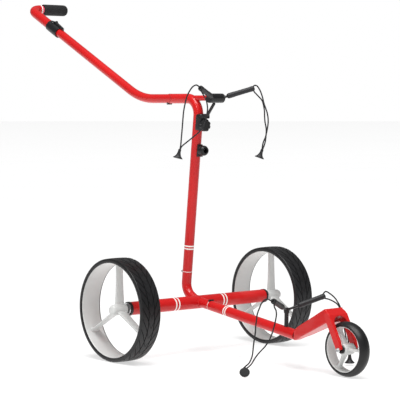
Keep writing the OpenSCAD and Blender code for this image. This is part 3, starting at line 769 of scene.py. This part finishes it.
for side in (-1, 1):
    for shift in (-5.5, 5.5):
        tag = "%s_%s" % ("r" if side < 0 else "l", "in" if shift < 0 else "out")
        ring("axle_band_" + tag, "chassis", at(side * (90 + shift), 0, AXLE_Z), ACROSS, AXLE_R, 4.2)

mast_up = Vector((0, -math.sin(LEAN), math.cos(LEAN)))
for k, z in enumerate((298, 306)):
    ring("mast_band_%d" % k, "mast", at(0, mast_y(z), z), mast_up, TUBE_R, 3.8)
# The thin white ring at the mast's foot seam is a painted highlight of the seam's edge catching light.
mast_foot = at(0, FOOT_Y, FOOT_Z) + mast_up * 0.0011
ring("mast_seam_painted_highlight", "mast", mast_foot, mast_up, TUBE_R, 1.6, 0.06)

front_along = Vector((0, -math.cos(DROOP), -math.sin(DROOP)))
for k, y in enumerate((-125, -133)):
    ring("front_band_%d" % k, "front_arm", at(0, y, front_z(y)), front_along, TUBE_R, 3.8)
# The thin white ring at the front tube's seam is a painted highlight of the seam's edge catching light.
front_seam = at(0, -55, front_z(-55)) + front_along * 0.0011
ring("front_seam_painted_highlight", "front_arm", front_seam, front_along, TUBE_R, 1.4, 0.06)

# The seam of the level bar is a zigzag with its points towards the grip.
SHADOW = surface("seam_shadow", (0.05, 0.004, 0.005), (0.08, 0.006, 0.008), (0.5, 0.7), 500, 0.1, 0.05)
SEAM_STEPS = 120
SEAM_R = 14.05
zigzag = []
for k in range(SEAM_STEPS):
    turn = 2 * math.pi * k / SEAM_STEPS
    point = abs(2 * ((2 * k / SEAM_STEPS) % 1) - 1)
    zigzag.append(at(SEAM_R * math.sin(turn), 104 + 25 * point, BAR_Z + SEAM_R * math.cos(turn)))
curve_piece("mast_seam_chevron", SHADOW, "mast", zigzag, 0.0005, cyclic=True, slot="red_paint")

# A smooth skin a hair over the mast's bend, from 2 degrees before it to 2 degrees past it.
bend_z = BAR_Z - MAST_BEND
bend_y = mast_y(bend_z - MAST_BEND * math.sin(LEAN)) + MAST_BEND * math.cos(LEAN)
turns = [math.radians(88 + k * (100.2 / 40)) for k in range(41)]
bend_path = [at(0, bend_y + MAST_BEND * math.cos(a), bend_z + MAST_BEND * math.sin(a)) for a in turns]
curve_piece("mast_bend_skin", RED, "mast", bend_path, 0.0143, sides=48, slot="red_paint")


def weld_bead(name, origin, along):
    """Rippled bead along the line where a tube's surface crosses the axle tube's."""
    along = Vector(along).normalized()
    v = along.cross(ACROSS)
    count, sides = 180, 12
    path = []
    for k in range(count):
        angle = 2 * math.pi * k / count
        foot = Vector(origin) + (ACROSS * math.cos(angle) + v * math.sin(angle)) * TUBE_R
        a = along.y ** 2 + along.z ** 2
        b = 2 * (foot.y * along.y + (foot.z - AXLE_Z) * along.z)
        c = foot.y ** 2 + (foot.z - AXLE_Z) ** 2 - AXLE_R ** 2
        t = (-b + math.sqrt(max(b * b - 4 * a * c, 0))) / (2 * a)
        path.append(at(*(foot + along * t)))
    points, faces = [], []
    for k, p in enumerate(path):
        forward = (path[(k + 1) % count] - path[k - 1]).normalized()
        side = forward.cross(along).normalized()
        up = side.cross(forward)
        swell = 0.0016 * (1.0 + 0.18 * math.sin(k * 2 * math.pi / 6))
        for j in range(sides):
            turn = 2 * math.pi * j / sides
            points.append(p + (side * math.cos(turn) + up * math.sin(turn)) * swell)
            n, m = (k + 1) % count, (j + 1) % sides
            faces.append((k * sides + j, k * sides + m, n * sides + m, n * sides + j))
    link(name, mesh_of(name, points, faces), RED, "chassis", slot="red_paint", smooth=180)


# The mast's foot: a short straight run below the seam, then a bend down to the axle tube.
FOOT_RUN = 30
FOOT_BEND = 40
FOOT_RISE = math.radians(28)
arc_y = FOOT_Y + FOOT_RUN * math.sin(LEAN) - FOOT_BEND * math.cos(LEAN)
arc_z = FOOT_Z - FOOT_RUN * math.cos(LEAN) - FOOT_BEND * math.sin(LEAN)
start = (0, arc_y + FOOT_BEND * math.sin(FOOT_RISE), arc_z - FOOT_BEND * math.cos(FOOT_RISE))
weld_bead("mast_foot_weld", start, (0, math.cos(FOOT_RISE), math.sin(FOOT_RISE)))
weld_bead("front_stub_weld", (0, 0, STUB_Z), front_along)


# ---- finishes of the CAD parts that stay ----

FINISH = {
    "red_paint": RED, "white_rim": RIM, "tyre_rubber": TYRE, "black_plastic": PLASTIC,
    "black_rubber": RUBBER, "grip_foam": FOAM, "elastic_cord": CORD, "red_plastic": DIAL,
    "steel": STEEL, "motor_alloy": ALLOY, "board": BOARD,
}
for part in frame["record"]["subparts"]:
    mesh = nodes[part["node"]].data
    mesh.materials.clear()
    mesh.materials.append(FINISH[part["material_slot"]])
    mesh.shade_smooth()
    mesh.set_sharp_from_angle(angle=math.radians(35))


# ---- studio ----

def floor():
    """White, slightly glossy floor that reaches past the view."""
    corners = [(60 * x, 60 * y, -0.0005) for x, y in ((-1, -1), (1, -1), (1, 1), (-1, 1))]
    mesh = bpy.data.meshes.new("floor")
    mesh.from_pydata(corners, [], [(0, 1, 2, 3)])
    material, tree, shader, where = new_material("studio_floor")
    tree.links.new(ramp(tree, noise(tree, where, 0.8, 2), (0.62, 0.62, 0.62), (0.64, 0.64, 0.64)),
                   shader.inputs["Base Color"])
    shader.inputs["Roughness"].default_value = 0.12
    shader.inputs["Specular IOR Level"].default_value = 0.35
    shader.inputs["Emission Color"].default_value = (1, 1, 1, 1)
    shader.inputs["Emission Strength"].default_value = 0.57
    mesh.materials.append(material)
    plane = bpy.data.objects.new("floor", mesh)
    bpy.context.scene.collection.objects.link(plane)


def area_light(name, place, target, size, power):
    """Long narrow light that shows as a streak along the tubes."""
    data = bpy.data.lights.new(name, "AREA")
    data.shape = "RECTANGLE"
    data.size, data.size_y = size
    data.energy = power
    light = bpy.data.objects.new(name, data)
    bpy.context.scene.collection.objects.link(light)
    light.location = place
    light.rotation_euler = (Vector(target) - Vector(place)).to_track_quat("-Z", "Y").to_euler()


def studio_world():
    """White surroundings that light the object more softly than they look."""
    world = bpy.data.worlds.new("studio")
    world.use_nodes = True
    tree = world.node_tree
    light = tree.nodes["Background"]
    light.inputs["Color"].default_value = (1, 1, 1, 1)
    light.inputs["Strength"].default_value = 0.26
    seen = tree.nodes.new("ShaderNodeBackground")
    seen.inputs["Color"].default_value = (1, 1, 1, 1)
    seen.inputs["Strength"].default_value = 1.0
    which = tree.nodes.new("ShaderNodeLightPath")
    mix = tree.nodes.new("ShaderNodeMixShader")
    tree.links.new(which.outputs["Is Camera Ray"], mix.inputs["Fac"])
    tree.links.new(light.outputs[0], mix.inputs[1])
    tree.links.new(seen.outputs[0], mix.inputs[2])
    tree.links.new(mix.outputs[0], tree.nodes["World Output"].inputs["Surface"])
    bpy.context.scene.world = world


floor()
studio_world()
sun_data = bpy.data.lights.new("soft_sun", "SUN")
sun_data.energy = 2.9
sun_data.angle = math.radians(40)
sun = bpy.data.objects.new("soft_sun", sun_data)
bpy.context.scene.collection.objects.link(sun)
sun.rotation_euler = (math.radians(14), math.radians(-12), 0)
area_light("overhead", (-1.0, -0.5, 2.4), (0, 0, 0.4), (0.35, 2.6), 22)
area_light("front_left", (-3.2, -2.4, 1.9), (0, 0, 0.5), (0.3, 1.8), 12)
bpy.context.scene.view_settings.view_transform = "Standard"
